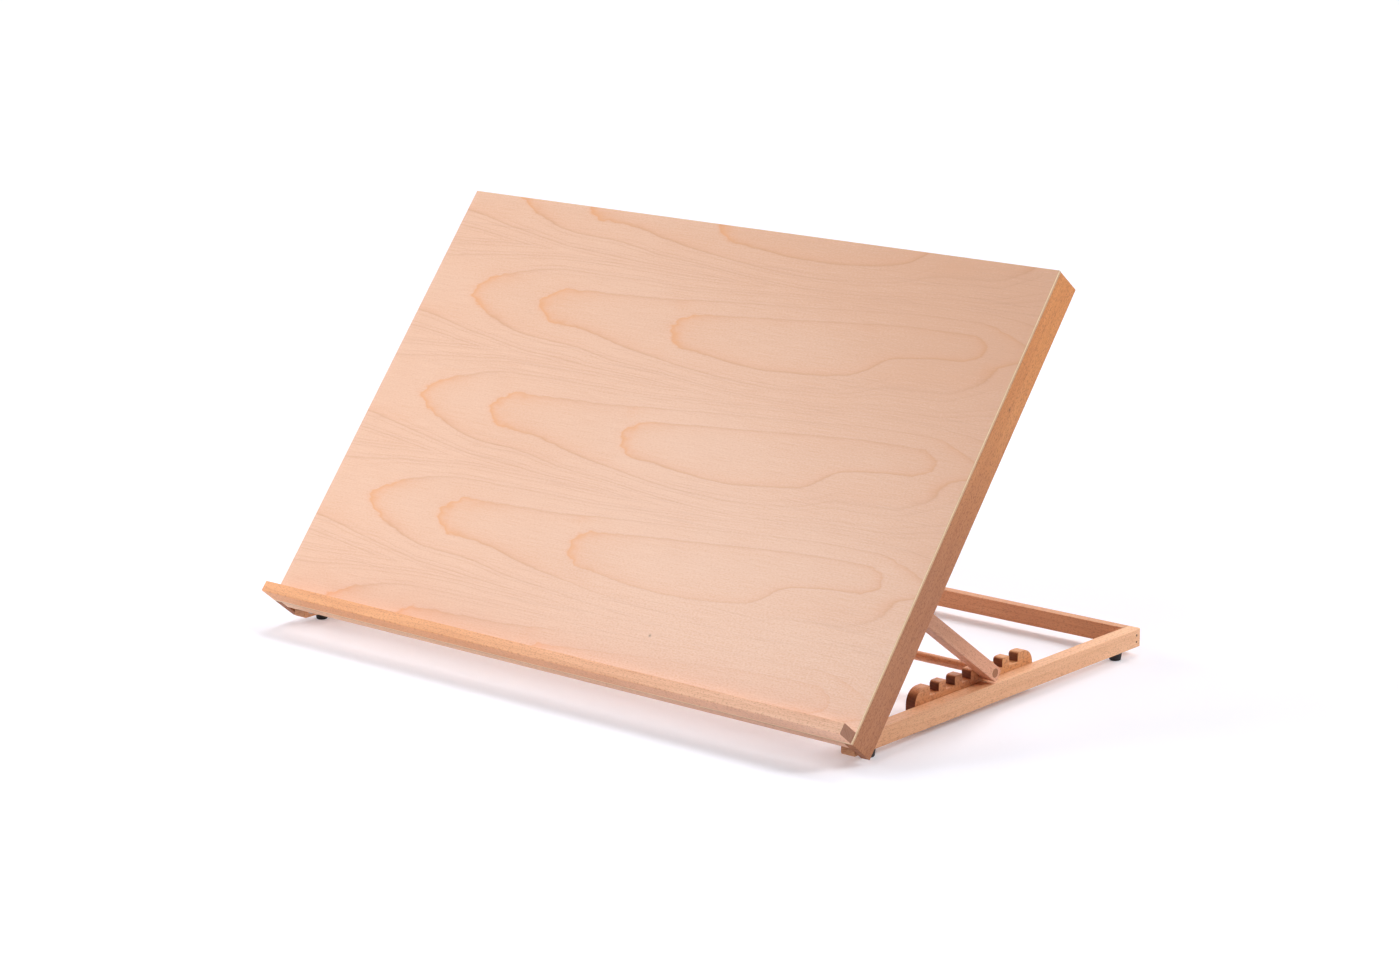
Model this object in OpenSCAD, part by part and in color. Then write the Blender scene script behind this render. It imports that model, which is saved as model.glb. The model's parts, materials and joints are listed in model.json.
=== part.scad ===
// Slant board: a drawing board for a table top. The board is hinged to the front
// of a low base and leans on a swinging prop, whose cross dowel sits in one of the
// notches of two racks on the base. Millimetres, +Z up, standing on Z = 0.

/* [Board] */
// Width of the board
board_w = 650; // [560:1:760]
// Length of the board along its slope
board_l = 430; // [380:1:520]
// Thickness of the veneered drawing panel
panel_t = 3; // [2:0.1:6]
// Depth of the frame behind the panel
frame_d = 28; // [26:0.5:34]
// Thickness of the two side stiles
stile_t = 9; // [8:0.5:14]
// Thickness of the top rail
top_rail_t = 9; // [6:0.5:14]
// Thickness of the bottom rail, which lies flat behind the panel
bottom_rail_t = 9.5; // [8:0.5:10]
// Height of the bottom rail along the slope
bottom_rail_h = 27; // [20:0.5:40]

/* [Ledge] */
// Height of the paper ledge along the slope
ledge_h = 10; // [7:0.5:14]
// How far the ledge stands out of the drawing face
ledge_d = 18; // [13:0.5:24]
// How far the ledge stops short of each side of the board
ledge_inset = 0.5; // [0:0.1:5]
// Rounding of the ledge's two front edges
ledge_round = 1; // [0.4:0.1:3]

/* [Base] */
// Length of the two base rails
rail_l = 406.5; // [370:0.5:460]
// Thickness of the base rails
rail_w = 13; // [12:0.5:18]
// Height of the base rails and of the crossbar
rail_h = 16; // [15:0.5:20]
// Rounding of the rails' rear outer corners
rail_tail_round = 2.5; // [1:0.1:5]
// Thickness of the crossbar between the rear ends of the rails
crossbar_t = 9.5; // [8:0.5:16]

/* [Hinge] */
// Distance of the hinge axis from the front end of the rails
hinge_from_end = 8.2; // [7:0.1:9]
// Distance of the hinge axis from the lower edge of the board
hinge_up = 8.3; // [7:0.1:10]
// Distance of the hinge axis from the back edge of the stiles
hinge_back = 6; // [5:0.1:7]
// Room between the rails' rounded front ends and the bottom rail
nose_clear = 1.9; // [0.5:0.1:3]

/* [Rack] */
// Thickness of the racks
rack_t = 9.5; // [8:0.5:14]
// Length of the racks
rack_l = 164; // [158:0.5:180]
// Distance of the racks from the front end of the rails
rack_front = 96.8; // [85:0.1:105]
// Distance of the first notch from the front end of the rack
notch_first = 20; // [14:0.5:24]
// Number of notches
notch_count = 6; // [4:1:6]
// Distance from notch to notch
notch_pitch = 22.1; // [20:0.1:22.5]
// Depth of the notches
notch_depth = 8; // [7:0.1:9]
// Gap between the dowel and the front wall of its notch
notch_front_gap = 1.8; // [0.8:0.1:2]
// Gap between the dowel and the rear wall of its notch
notch_rear_gap = 2.2; // [2:0.1:4]
// Rounding of the tooth tops behind each notch
tooth_round = 3; // [1:0.1:4]
// Rounding of the front end of the rack
rack_front_round = 13; // [4:0.5:16]
// Rounding of the rear end of the rack
rack_rear_round = 13; // [6:0.5:14]
// The notch that holds the dowel, counted from the front
notch_used = 4; // [3:1:4]

/* [Prop] */
// Length of the prop legs from pivot to dowel
leg_l = 144; // [136:0.5:150]
// Width of the prop legs
leg_w = 12; // [11:0.5:15]
// How far the legs reach past the dowel
leg_past = 6.5; // [5.5:0.1:8]
// Rounding of the legs' lower corners
leg_round = 2.4; // [1:0.1:4]
// Distance of the prop pivot from the lower edge of the board
pivot_up = 126.7; // [120:0.1:135]
// Diameter of the cross dowel
dowel_d = 8; // [7:0.5:9]
// How far the dowel stands out of the legs
dowel_proud = 0.2; // [0:0.05:0.4]
// Gap between the folded legs and the panel
leg_panel_gap = 2; // [0.3:0.1:3]
// Least gap between the legs' lower corners and the top of the base rails
leg_rail_gap = 1.5; // [0.8:0.1:3]
// Gap between the legs and the racks beside them
leg_rack_gap = 1; // [0.5:0.1:3]
// Gap under the dowel in its notch
seat_gap = 0.3; // [0.1:0.05:0.5]

/* [Feet] */
// Height of the rubber feet
foot_h = 7; // [5:0.5:12]
// Diameter of the feet at the rail
foot_d = 12; // [11:0.5:16]
// How much narrower the feet are at the floor
foot_taper = 2.2; // [0:0.1:3]
// Rounding of the feet at the floor
foot_round = 1.2; // [0.5:0.1:1.5]
// Distance of the front feet from the front end of the rails
foot_front = 27.2; // [22:0.1:60]
// Distance of the rear feet from the rear end of the rails
foot_rear = 30; // [24:0.5:60]

/* [Fasteners] */
// Shank diameter of the hinge and pivot screws
pivot_screw_d = 4; // [3:0.1:5]
// Head diameter of the hinge and pivot screws
pivot_head_d = 8; // [7:0.1:9]
// Head height of the hinge and pivot screws
pivot_head_h = 2.6; // [2:0.1:3.2]
// Outer diameter of the washers
washer_d = 10; // [9:0.1:11]
// Thickness of the washers
washer_t = 0.8; // [0.5:0.1:1.5]
// Shank diameter of the rack, ledge and foot screws
screw_d = 3.2; // [2.5:0.1:4]
// Head diameter of the rack and ledge screws
screw_head_d = 6.2; // [5:0.1:7]
// Head height of the rack and ledge screws
screw_head_h = 2; // [1.6:0.1:2.6]
// Head diameter of the foot screws
foot_head_d = 5; // [4.8:0.1:6]
// Head height of the foot screws
foot_head_h = 2.2; // [1.6:0.1:2.6]
// Length of the rack screws
rack_screw_l = 18; // [14:0.5:19]
// Length of the ledge screws in the ledge itself
ledge_bite = 8; // [5:0.5:11]
// Number of ledge screws
ledge_screw_count = 5; // [3:1:8]
// Length of the foot screws in the rail
foot_bite = 10; // [6:0.5:12]
// Thickness of rubber under the head of a foot screw
foot_web = 3.5; // [2.5:0.1:4]
// Diameter of the crossbar nails
nail_d = 1.8; // [1.2:0.1:2.5]
// Length of the crossbar nails
nail_l = 32; // [24:1:45]
// Distance of the crossbar nails from the rear end of the rails
nail_back = 7; // [3:0.5:8]
// Distance between the two nails of a corner
nail_gap = 6; // [4:0.5:9]
// How far the nails stand out of the rails
nail_proud = 0.15; // [0:0.05:0.3]
// Diameter of the glued corner pegs of the board's frame
peg_d = 5; // [4:0.5:6]
// Length of the corner pegs
peg_l = 24; // [18:1:32]
// Distance of the corner pegs from the side edges of the rail they enter
peg_margin = 6; // [4:0.5:8]
// Wood left between a blind hole and the far face
skin_t = 2; // [1:0.1:3]

/* [Clearances] */
// Radial gap of a fastener, peg or dowel in its fixed hole
fixed_fit = 0.02; // [0.01:0.01:0.05]
// Radial running gap of the rails and legs on their screws
running_fit = 0.05; // [0.02:0.01:0.1]
// Side play beside each washer
side_play = 0.2; // [0.1:0.05:0.3]

/* [Hidden] */
$fn = 64;
beech = [0.83, 0.58, 0.40];
beech_pale = [0.90, 0.72, 0.60];
beech_shade = [0.72, 0.46, 0.31];
rubber_black = [0.09, 0.08, 0.08];
zinc = [0.72, 0.73, 0.75];
// Overcut that carries a hole clear of the faces it opens
over = 1;
// Span, width and depth of a screw's cross recess, as shares of the head's diameter
span_share = 0.6;
slot_share = 0.14;
sink_share = 0.16;
// Diameter of a screw's blunt point, as a share of the shank's
point_share = 0.25;

// Places across the width, for the right side
half_w = board_w / 2;
stile_in = half_w - stile_t;
rail_out = stile_in - washer_t - side_play;
rail_in = rail_out - rail_w;
rail_mid = rail_out - rail_w / 2;
rack_in = rail_in - rack_t;
leg_in = rail_in + leg_rack_gap;
leg_t = rail_out - leg_in;

// Heights of the base
rail_top = foot_h + rail_h;
hinge_z = foot_h + rail_h / 2;
leg_reach = norm([leg_past - leg_round, leg_w / 2 - leg_round]) + leg_round;
floor_z = rail_top + leg_reach + leg_rail_gap - dowel_d / 2 - seat_gap;
tooth_z = floor_z + notch_depth;
notch_w = dowel_d + notch_front_gap + notch_rear_gap;

// Depths behind the drawing face
frame_back = panel_t + frame_d;
hinge_depth = frame_back - hinge_back;
bottom_rail_back = panel_t + bottom_rail_t;
pivot_depth = panel_t + leg_panel_gap + leg_w / 2;
nose_r = hinge_depth - bottom_rail_back - nose_clear;

// Dowel and pivot seen from the hinge, and the tilt that closes the triangle
function notch_wall(i) = rack_front + notch_first + i * notch_pitch - hinge_from_end;
dowel_run = notch_wall(notch_used - 1) + notch_front_gap + dowel_d / 2;
dowel_rise = floor_z + seat_gap + dowel_d / 2 - hinge_z;
dowel_reach = norm([dowel_run, dowel_rise]);
pivot_run = pivot_up - hinge_up;
pivot_rise = hinge_depth - pivot_depth;
pivot_reach = norm([pivot_run, pivot_rise]);
hinge_corner = acos((pivot_reach ^ 2 + dowel_reach ^ 2 - leg_l ^ 2) / (2 * pivot_reach * dowel_reach));
pivot_angle = atan2(dowel_rise, dowel_run) + hinge_corner;
tilt = pivot_angle - atan2(pivot_rise, pivot_run);

// The hinge's place that puts the origin under the middle of the whole object
front_reach = hinge_up * cos(tilt) + (hinge_depth + ledge_d) * sin(tilt);
rear_reach = rail_l - hinge_from_end;
hinge_y = (front_reach - rear_reach) / 2;
rail_front_y = hinge_y - hinge_from_end;
rail_rear_y = hinge_y + rear_reach;
dowel_y = hinge_y + dowel_run;
dowel_z = hinge_z + dowel_rise;
pivot_y = hinge_y + pivot_reach * cos(pivot_angle);
pivot_z = hinge_z + pivot_reach * sin(pivot_angle);
leg_angle = atan2(dowel_z - pivot_z, dowel_y - pivot_y);

// Screw lengths and places that follow from what they hold
pivot_screw_l = side_play + washer_t + rail_w + washer_t + side_play + stile_t - skin_t;
prop_screw_l = pivot_screw_l - leg_rack_gap;
rack_screw_places = [notch_first / 2, rack_l - notch_first / 2];
peg_bite = stile_t - skin_t;

// Lays a drawing of the Y-Z plane out along X
module along_x(length) {
  rotate([90, 0, 90]) linear_extrude(length) children();
}

// Puts a piece from the board's own frame (X across, Y up the slope from the lower
// edge, Z out of the drawing face) onto the hinge at the board's tilt
module on_board() {
  translate([0, hinge_y, hinge_z])
    rotate([tilt, 0, 0])
      translate([0, -hinge_up, hinge_depth]) children();
}

// Draws a piece of the right side and its mirror image
module both_sides() {
  children();
  mirror([1, 0, 0]) children();
}

// What a rounding of radius r takes off a corner at the origin, inside +X and +Y
module corner_waste(r) {
  difference() {
    translate([-over, -over]) square(r + over);
    translate([r, r]) circle(r);
  }
}

// Bar lying along X between two places, with its low Y-Z corner and its size
module bar_x(from, to, corner, size) {
  translate([from, corner[0], corner[1]]) cube([to - from, size[0], size[1]]);
}

// Cylinder along +X from a place
module rod_x(place, d, length) {
  translate(place) rotate([0, 90, 0]) cylinder(d = d, h = length);
}

// Cross recess of a screw head at the origin, sunk along +Z
module cross_recess(head_d) {
  for (turn = [0, 90])
    rotate(turn)
      translate([-head_d * span_share / 2, -head_d * slot_share / 2, -over])
        cube([head_d * span_share, head_d * slot_share, over + head_d * sink_share]);
}

// Round-head screw: underside of the head at the origin, point along +Z
module round_screw(d, head_d, head_h, length) {
  dome_r = (head_d ^ 2 / 4 + head_h ^ 2) / (2 * head_h);
  difference() {
    union() {
      rotate_extrude()
        intersection() {
          translate([0, dome_r - head_h]) circle(dome_r);
          translate([0, -head_h]) square([head_d / 2, head_h]);
        }
      cylinder(d = d, h = length - d);
      translate([0, 0, length - d]) cylinder(d1 = d, d2 = d * point_share, h = d);
    }
    translate([0, 0, -head_h]) cross_recess(head_d);
  }
}

// Wood screw with the underside of its head at the origin, or with a gap its hole
module wood_screw(head_d, head_h, length, gap) {
  if (gap == 0)
    round_screw(screw_d, head_d, head_h, length);
  else
    translate([0, 0, -over]) cylinder(d = screw_d + 2 * gap, h = over + length + gap);
}

// Round-head screws along +X, one in each side, from the inner face at X = from
module side_screws(from, y, z, length) {
  both_sides()
    translate([from, y, z]) rotate([0, 90, 0])
      round_screw(pivot_screw_d, pivot_head_d, pivot_head_h, length);
}

// Washers under the screw heads and beside the stiles
module side_washers(from, y, z) {
  both_sides()
    for (place = [from, stile_in - washer_t])
      difference() {
        rod_x([place, y, z], washer_d, washer_t);
        rod_x([place - over, y, z], pivot_screw_d + 2 * fixed_fit, washer_t + 2 * over);
      }
}

// Blind holes of the hinge screw and the pivot screw in a stile
module stile_screw_holes() {
  for (place = [[hinge_up, hinge_depth], [pivot_up, pivot_depth]])
    rod_x([stile_in - over, place[0], -place[1]], pivot_screw_d + 2 * fixed_fit, stile_t - skin_t + over);
}

// Places of the corner pegs on the inner face of a stile, in the board's frame
peg_places = [
  [board_l - top_rail_t / 2, -panel_t - peg_margin],
  [board_l - top_rail_t / 2, -frame_back + peg_margin],
  [peg_margin, -panel_t - bottom_rail_t / 2],
  [bottom_rail_h - peg_margin, -panel_t - bottom_rail_t / 2]
];

// Corner pegs of the right side, or their holes
module corner_pegs(gap = 0) {
  for (place = peg_places)
    rod_x([stile_in + peg_bite - peg_l - gap, place[0], place[1]], peg_d + 2 * gap, peg_l + 2 * gap);
}

// Side view of a base rail, with its front end rounded about the hinge
module rail_outline() {
  intersection() {
    translate([rail_front_y, foot_h]) square([rail_l, rail_h]);
    union() {
      translate([hinge_y, hinge_z]) circle(nose_r);
      translate([hinge_y, 0]) square([rail_l, rail_top + over]);
    }
  }
}

module rail_right_shape() {
  difference() {
    translate([rail_in, 0, 0]) along_x(rail_w) rail_outline();
    rod_x([rail_in - over, hinge_y, hinge_z], pivot_screw_d + 2 * running_fit, rail_w + 2 * over);
    translate([rail_out, rail_rear_y, 0])
      rotate(180) linear_extrude(rail_top + over) corner_waste(rail_tail_round);
    rack_screws_right(fixed_fit);
    foot_screws_right(fixed_fit);
    crossbar_nails_right(fixed_fit);
  }
}

module rail_right() {
  color(beech) rail_right_shape();
}

module rail_left() {
  color(beech) mirror([1, 0, 0]) rail_right_shape();
}

module rear_crossbar() {
  color(beech_shade)
    difference() {
      bar_x(-rail_in, rail_in, [rail_rear_y - crossbar_t, foot_h], [crossbar_t, rail_h]);
      both_sides() crossbar_nails_right(fixed_fit);
    }
}

// Side view of a rack, from the front end at the origin along +X, standing on the
// rails' underside
module rack_outline() {
  rack_h = tooth_z - foot_h;
  difference() {
    square([rack_l, rack_h]);
    translate([0, rack_h]) rotate(-90) corner_waste(rack_front_round);
    translate([rack_l, rack_h]) rotate(180) corner_waste(rack_rear_round);
    for (i = [0 : notch_count - 1])
      translate([notch_first + i * notch_pitch, rack_h]) {
        translate([0, -notch_depth]) square([notch_w, notch_depth + over]);
        translate([notch_w, 0]) rotate(-90) corner_waste(tooth_round);
      }
  }
}

module rack_right_shape() {
  difference() {
    translate([rack_in, rail_front_y + rack_front, foot_h]) along_x(rack_t) rack_outline();
    rack_screws_right(fixed_fit);
  }
}

module rack_right() {
  color(beech) rack_right_shape();
}

module rack_left() {
  color(beech) mirror([1, 0, 0]) rack_right_shape();
}

// Screws through the right rack into its rail, or their holes
module rack_screws_right(gap = 0) {
  for (place = rack_screw_places)
    translate([rack_in, rail_front_y + rack_front + place, hinge_z])
      rotate([0, 90, 0]) wood_screw(screw_head_d, screw_head_h, rack_screw_l, gap);
}

module rack_screws() {
  color(zinc) both_sides() rack_screws_right();
}

// Nails through the right rail into the end of the crossbar, or their holes
module crossbar_nails_right(gap = 0) {
  for (side = [-1, 1])
    rod_x([rail_out + nail_proud - nail_l - gap, rail_rear_y - nail_back, hinge_z + side * nail_gap / 2],
      nail_d + 2 * gap, nail_l + 2 * gap);
}

module crossbar_nails() {
  color(zinc) both_sides() crossbar_nails_right();
}

// Rubber foot with a recess for the head of its screw, standing on the origin
module foot() {
  sole_r = (foot_d - foot_taper) / 2;
  difference() {
    rotate_extrude()
      difference() {
        polygon([[0, 0], [sole_r, 0], [foot_d / 2, foot_h], [0, foot_h]]);
        translate([sole_r, 0]) rotate(90) corner_waste(foot_round);
      }
    translate([0, 0, -over]) cylinder(d = foot_head_d + 2 * fixed_fit, h = foot_h - foot_web + over);
    cylinder(d = screw_d + 2 * fixed_fit, h = foot_h + over);
  }
}

foot_front_y = rail_front_y + foot_front;
foot_rear_y = rail_rear_y - foot_rear;

module foot_at(side, y) {
  color(rubber_black) translate([side * rail_mid, y, 0]) foot();
}

module foot_front_left() {
  foot_at(-1, foot_front_y);
}

module foot_front_right() {
  foot_at(1, foot_front_y);
}

module foot_rear_left() {
  foot_at(-1, foot_rear_y);
}

module foot_rear_right() {
  foot_at(1, foot_rear_y);
}

// Screws up through the right feet into their rail, or their holes
module foot_screws_right(gap = 0) {
  for (y = [foot_front_y, foot_rear_y])
    translate([rail_mid, y, foot_h - foot_web])
      wood_screw(foot_head_d, foot_head_h, foot_web + foot_bite, gap);
}

module foot_screws() {
  color(zinc) both_sides() foot_screws_right();
}

// Places of the ledge screws across the board
function ledge_screw_x(i) =
  (i + 0.5) / ledge_screw_count * 2 * stile_in - stile_in;

// Screws from behind through bottom rail and panel into the ledge, or their holes
module ledge_screws_shape(gap = 0) {
  for (i = [0 : ledge_screw_count - 1])
    translate([ledge_screw_x(i), ledge_h / 2, -bottom_rail_back])
      wood_screw(screw_head_d, screw_head_h, bottom_rail_back + ledge_bite, gap);
}

module ledge_screws() {
  color(zinc) on_board() ledge_screws_shape();
}

module drawing_panel() {
  color(beech_pale)
    on_board()
      difference() {
        translate([-half_w, 0, -panel_t]) cube([board_w, board_l, panel_t]);
        ledge_screws_shape(fixed_fit);
      }
}

module ledge() {
  color(beech)
    on_board()
      difference() {
        translate([ledge_inset - half_w, 0, 0])
          along_x(board_w - 2 * ledge_inset)
            difference() {
              square([ledge_h, ledge_d]);
              translate([0, ledge_d]) rotate(-90) corner_waste(ledge_round);
              translate([ledge_h, ledge_d]) rotate(180) corner_waste(ledge_round);
            }
        ledge_screws_shape(fixed_fit);
      }
}

module stile_right_shape() {
  on_board()
    difference() {
      translate([stile_in, 0, -frame_back]) cube([stile_t, board_l, frame_d]);
      stile_screw_holes();
      corner_pegs(fixed_fit);
    }
}

module stile_right() {
  color(beech_shade) stile_right_shape();
}

module stile_left() {
  color(beech_shade) mirror([1, 0, 0]) stile_right_shape();
}

module top_rail() {
  color(beech_shade)
    on_board()
      difference() {
        bar_x(-stile_in, stile_in, [board_l - top_rail_t, -frame_back], [top_rail_t, frame_d]);
        both_sides() corner_pegs(fixed_fit);
      }
}

module bottom_rail() {
  color(beech_shade)
    on_board()
      difference() {
        bar_x(-stile_in, stile_in, [0, -bottom_rail_back], [bottom_rail_h, bottom_rail_t]);
        both_sides() corner_pegs(fixed_fit);
        ledge_screws_shape(fixed_fit);
      }
}

module frame_pegs() {
  color(beech_pale) on_board() both_sides() corner_pegs();
}

module hinge_screws() {
  color(zinc) side_screws(rail_in - side_play - washer_t, hinge_y, hinge_z, pivot_screw_l);
}

module hinge_washers() {
  color(zinc) side_washers(rail_in - side_play - washer_t, hinge_y, hinge_z);
}

module prop_screws() {
  color(zinc) side_screws(leg_in - side_play - washer_t, pivot_y, pivot_z, prop_screw_l);
}

module prop_washers() {
  color(zinc) side_washers(leg_in - side_play - washer_t, pivot_y, pivot_z);
}

// Prop leg of the right side: a bar that is round about the pivot and ends square,
// with rounded corners, past the dowel
module prop_leg_right_shape() {
  translate([leg_in, pivot_y, pivot_z])
    rotate([leg_angle, 0, 0])
      along_x(leg_t)
        difference() {
          union() {
            translate([0, -leg_w / 2]) square([leg_l + leg_past, leg_w]);
            circle(d = leg_w);
          }
          translate([leg_l + leg_past, leg_w / 2]) rotate(180) corner_waste(leg_round);
          translate([leg_l + leg_past, -leg_w / 2]) rotate(90) corner_waste(leg_round);
          circle(d = pivot_screw_d + 2 * running_fit);
          translate([leg_l, 0]) circle(d = dowel_d + 2 * fixed_fit);
        }
}

module prop_leg_right() {
  color(beech) prop_leg_right_shape();
}

module prop_leg_left() {
  color(beech) mirror([1, 0, 0]) prop_leg_right_shape();
}

module prop_dowel() {
  dowel_end = rail_out + dowel_proud;
  color(beech_shade) rod_x([-dowel_end, dowel_y, dowel_z], dowel_d, 2 * dowel_end);
}

rail_left();
rail_right();
rear_crossbar();
rack_left();
rack_right();
foot_front_left();
foot_front_right();
foot_rear_left();
foot_rear_right();
foot_screws();
rack_screws();
crossbar_nails();
drawing_panel();
stile_left();
stile_right();
top_rail();
bottom_rail();
ledge();
frame_pegs();
ledge_screws();
hinge_screws();
hinge_washers();
prop_screws();
prop_washers();
prop_leg_left();
prop_leg_right();
prop_dowel();
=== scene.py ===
import json
import math

import bpy
import numpy as np
from mathutils import Matrix, Vector


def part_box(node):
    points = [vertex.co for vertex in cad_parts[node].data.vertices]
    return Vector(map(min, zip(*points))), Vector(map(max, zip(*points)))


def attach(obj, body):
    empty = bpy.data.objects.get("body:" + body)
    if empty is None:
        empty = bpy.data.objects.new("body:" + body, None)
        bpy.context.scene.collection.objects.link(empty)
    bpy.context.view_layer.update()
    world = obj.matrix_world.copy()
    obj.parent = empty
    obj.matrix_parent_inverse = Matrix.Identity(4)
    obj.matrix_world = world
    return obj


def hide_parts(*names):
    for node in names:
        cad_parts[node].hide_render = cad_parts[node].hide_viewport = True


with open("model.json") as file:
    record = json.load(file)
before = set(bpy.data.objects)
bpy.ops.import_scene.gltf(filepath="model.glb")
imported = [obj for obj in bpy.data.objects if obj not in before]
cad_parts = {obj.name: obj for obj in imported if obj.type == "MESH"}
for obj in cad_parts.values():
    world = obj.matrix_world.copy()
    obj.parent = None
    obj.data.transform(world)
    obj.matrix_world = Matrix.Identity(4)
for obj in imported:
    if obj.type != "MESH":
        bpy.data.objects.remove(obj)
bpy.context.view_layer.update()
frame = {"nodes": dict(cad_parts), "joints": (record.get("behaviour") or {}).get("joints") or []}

MM = 0.001

# Camera at the photograph's viewing angle
VIEW_AZIMUTH = 40.11
VIEW_ELEVATION = 13.557
VIEW_DISTANCE = 3.0669
VIEW_AIM = Vector((-0.02184, 0.0257, 0.13799))
SENSOR_WIDTH = 36.0
LENS = 89.931

# Roundings of the wooden pieces
LONG_EDGE = 0.7 * MM
FREE_END = 0.6 * MM
BUTTED_END = 0.12 * MM
PANEL_EDGE = 0.3 * MM
PANEL_ARRIS = 0.5 * MM
LEDGE_FRONT_EDGE = 1.0 * MM
NOSE_ROUND = 2.2 * MM
TAIL_ROUND = 2.5 * MM
RACK_EDGE = 0.45 * MM
LEG_EDGE = 0.5 * MM
LEG_CORNER = 2.4 * MM
DOWEL_END = 0.4 * MM
LONG_EDGES = [LONG_EDGE] * 4
FREE_ENDS = [FREE_END] * 4
BUTTED_ENDS = [BUTTED_END] * 4

# Rack outline, measured from its front end
NOTCH_FIRST = 20 * MM
NOTCH_PITCH = 22.1 * MM
NOTCH_WIDTH = 12 * MM
NOTCH_DEPTH = 8 * MM
NOTCH_COUNT = 6
TOOTH_ROUND = 3 * MM
RACK_FRONT_ROUND = 13 * MM
RACK_REAR_ROUND = 13 * MM
SAWN_CORNER = 0.5 * MM

# Rubber foot: recess for the screw's head, and its small roundings
FOOT_RECESS = 2.52 * MM
FOOT_RECESS_DEPTH = 3.5 * MM
FOOT_SOLE = 4.9 * MM
FOOT_SOLE_ROUND = 1.2 * MM
FOOT_LIP = 0.4 * MM

# Steps of the curves, and the length in metres below which two points are one
ARC_STEPS = 6
END_STEPS = 8
ROUND_STEPS = 48
TINY = 1e-7

X_AXIS, Y_AXIS, Z_AXIS = np.eye(3)


def vertices_of(node):
    """A CAD node's vertices at rest, one row each."""
    mesh = frame["nodes"][node].data
    flat = np.empty(3 * len(mesh.vertices), np.float32)
    mesh.vertices.foreach_get("co", flat)
    return flat.reshape(-1, 3).astype(float)


def largest_face_normal(node):
    """The normal of a CAD node's largest face, turned to look upwards."""
    polygons = frame["nodes"][node].data.polygons
    areas = np.empty(len(polygons), np.float32)
    normals = np.empty(3 * len(polygons), np.float32)
    polygons.foreach_get("area", areas)
    polygons.foreach_get("normal", normals)
    normal = normals.reshape(-1, 3)[areas.argmax()].astype(float)
    return normal * np.sign(normal[2])


def span(node, axes):
    """Lowest and highest corner of a CAD node measured along three axes, one axis a row."""
    along = vertices_of(node) @ np.asarray(axes).T
    return along.min(0), along.max(0)


def place_of(joint):
    """Where a joint's axis stands, in the frame's metres."""
    return np.array(next(j["pos_m"] for j in frame["joints"] if j["name"] == joint), float)


# The board's own directions: across it, up its slope and out of its drawing face
OUT = largest_face_normal("drawing_panel")
UP = np.cross(OUT, X_AXIS)
PIVOT = place_of("prop_swing")
dowel_low, dowel_high = (np.array(corner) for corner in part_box("prop_dowel"))
DOWEL = (dowel_low + dowel_high) / 2
DOWEL_RADIUS = (dowel_high - dowel_low)[2] / 2
LEG = (DOWEL - PIVOT) * [0, 1, 1]
LEG = LEG / np.linalg.norm(LEG)
LEG_SIDE = np.cross(X_AXIS, LEG)


def filleted(corners, radii):
    """Closed outline, counter-clockwise, with each corner replaced by the arc that is tangent to its two
    sides: a point of an arc is its centre plus or minus the radius times the outward normal, which turns
    evenly from one side's normal to the next. Gives points and outward normals."""
    corners = np.asarray(corners, float)
    radii = np.asarray(radii, float)[:, None]
    inward = corners - np.roll(corners, 1, 0)
    inward /= np.linalg.norm(inward, axis=1, keepdims=True)
    onward = np.roll(inward, -1, 0)
    crossed = inward[:, 0] * onward[:, 1] - inward[:, 1] * onward[:, 0]
    turn = np.arctan2(crossed, (inward * onward).sum(1))[:, None]
    bulge = np.sign(turn) * radii
    first_normal = np.stack([inward[:, 1], -inward[:, 0]], 1)
    centres = corners - inward * radii * np.tan(abs(turn) / 2) - bulge * first_normal
    angles = np.arctan2(first_normal[:, 1], first_normal[:, 0])[:, None]
    angles = angles + turn * np.linspace(0, 1, ARC_STEPS + 1)
    normals = np.stack([np.cos(angles), np.sin(angles)], 2)
    points = (centres[:, None] + bulge[:, :, None] * normals).reshape(-1, 2)
    normals = normals.reshape(-1, 2)
    kept = np.linalg.norm(points - np.roll(points, 1, 0), axis=1) > TINY
    return points[kept], normals[kept]


def circle(radius):
    """Round outline about the origin, counter-clockwise, with its outward normals."""
    angles = np.linspace(0, 2 * math.pi, ROUND_STEPS, endpoint=False)
    normals = np.stack([np.cos(angles), np.sin(angles)], 1)
    return radius * normals, normals


def closed_mesh(name, rings, ring_normals, axes):
    """Rings of points in a row, skinned with quads and closed with a flat face at both ends. The rings run
    counter-clockwise about the third axis and follow one another along it, so all faces look outwards.
    The corners get the smooth normals that go with the rings."""
    count, size = rings.shape[:2]
    index = np.arange(count * size).reshape(count, size)
    following = np.roll(index, -1, 1)
    quads = np.stack([index[:-1], following[:-1], following[1:], index[1:]], 2).reshape(-1, 4)
    faces = quads.tolist() + [index[0, ::-1].tolist(), index[-1].tolist()]
    mesh = bpy.data.meshes.new(name)
    mesh.from_pydata((rings.reshape(-1, 3) @ axes).tolist(), [], faces)
    mesh.shade_smooth()
    normals = ring_normals.reshape(-1, 3) @ axes
    normals /= np.linalg.norm(normals, axis=1, keepdims=True)
    mesh.normals_split_custom_set_from_vertices(normals.tolist())
    piece = bpy.data.objects.new(name, mesh)
    bpy.context.scene.collection.objects.link(piece)
    return piece


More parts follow.
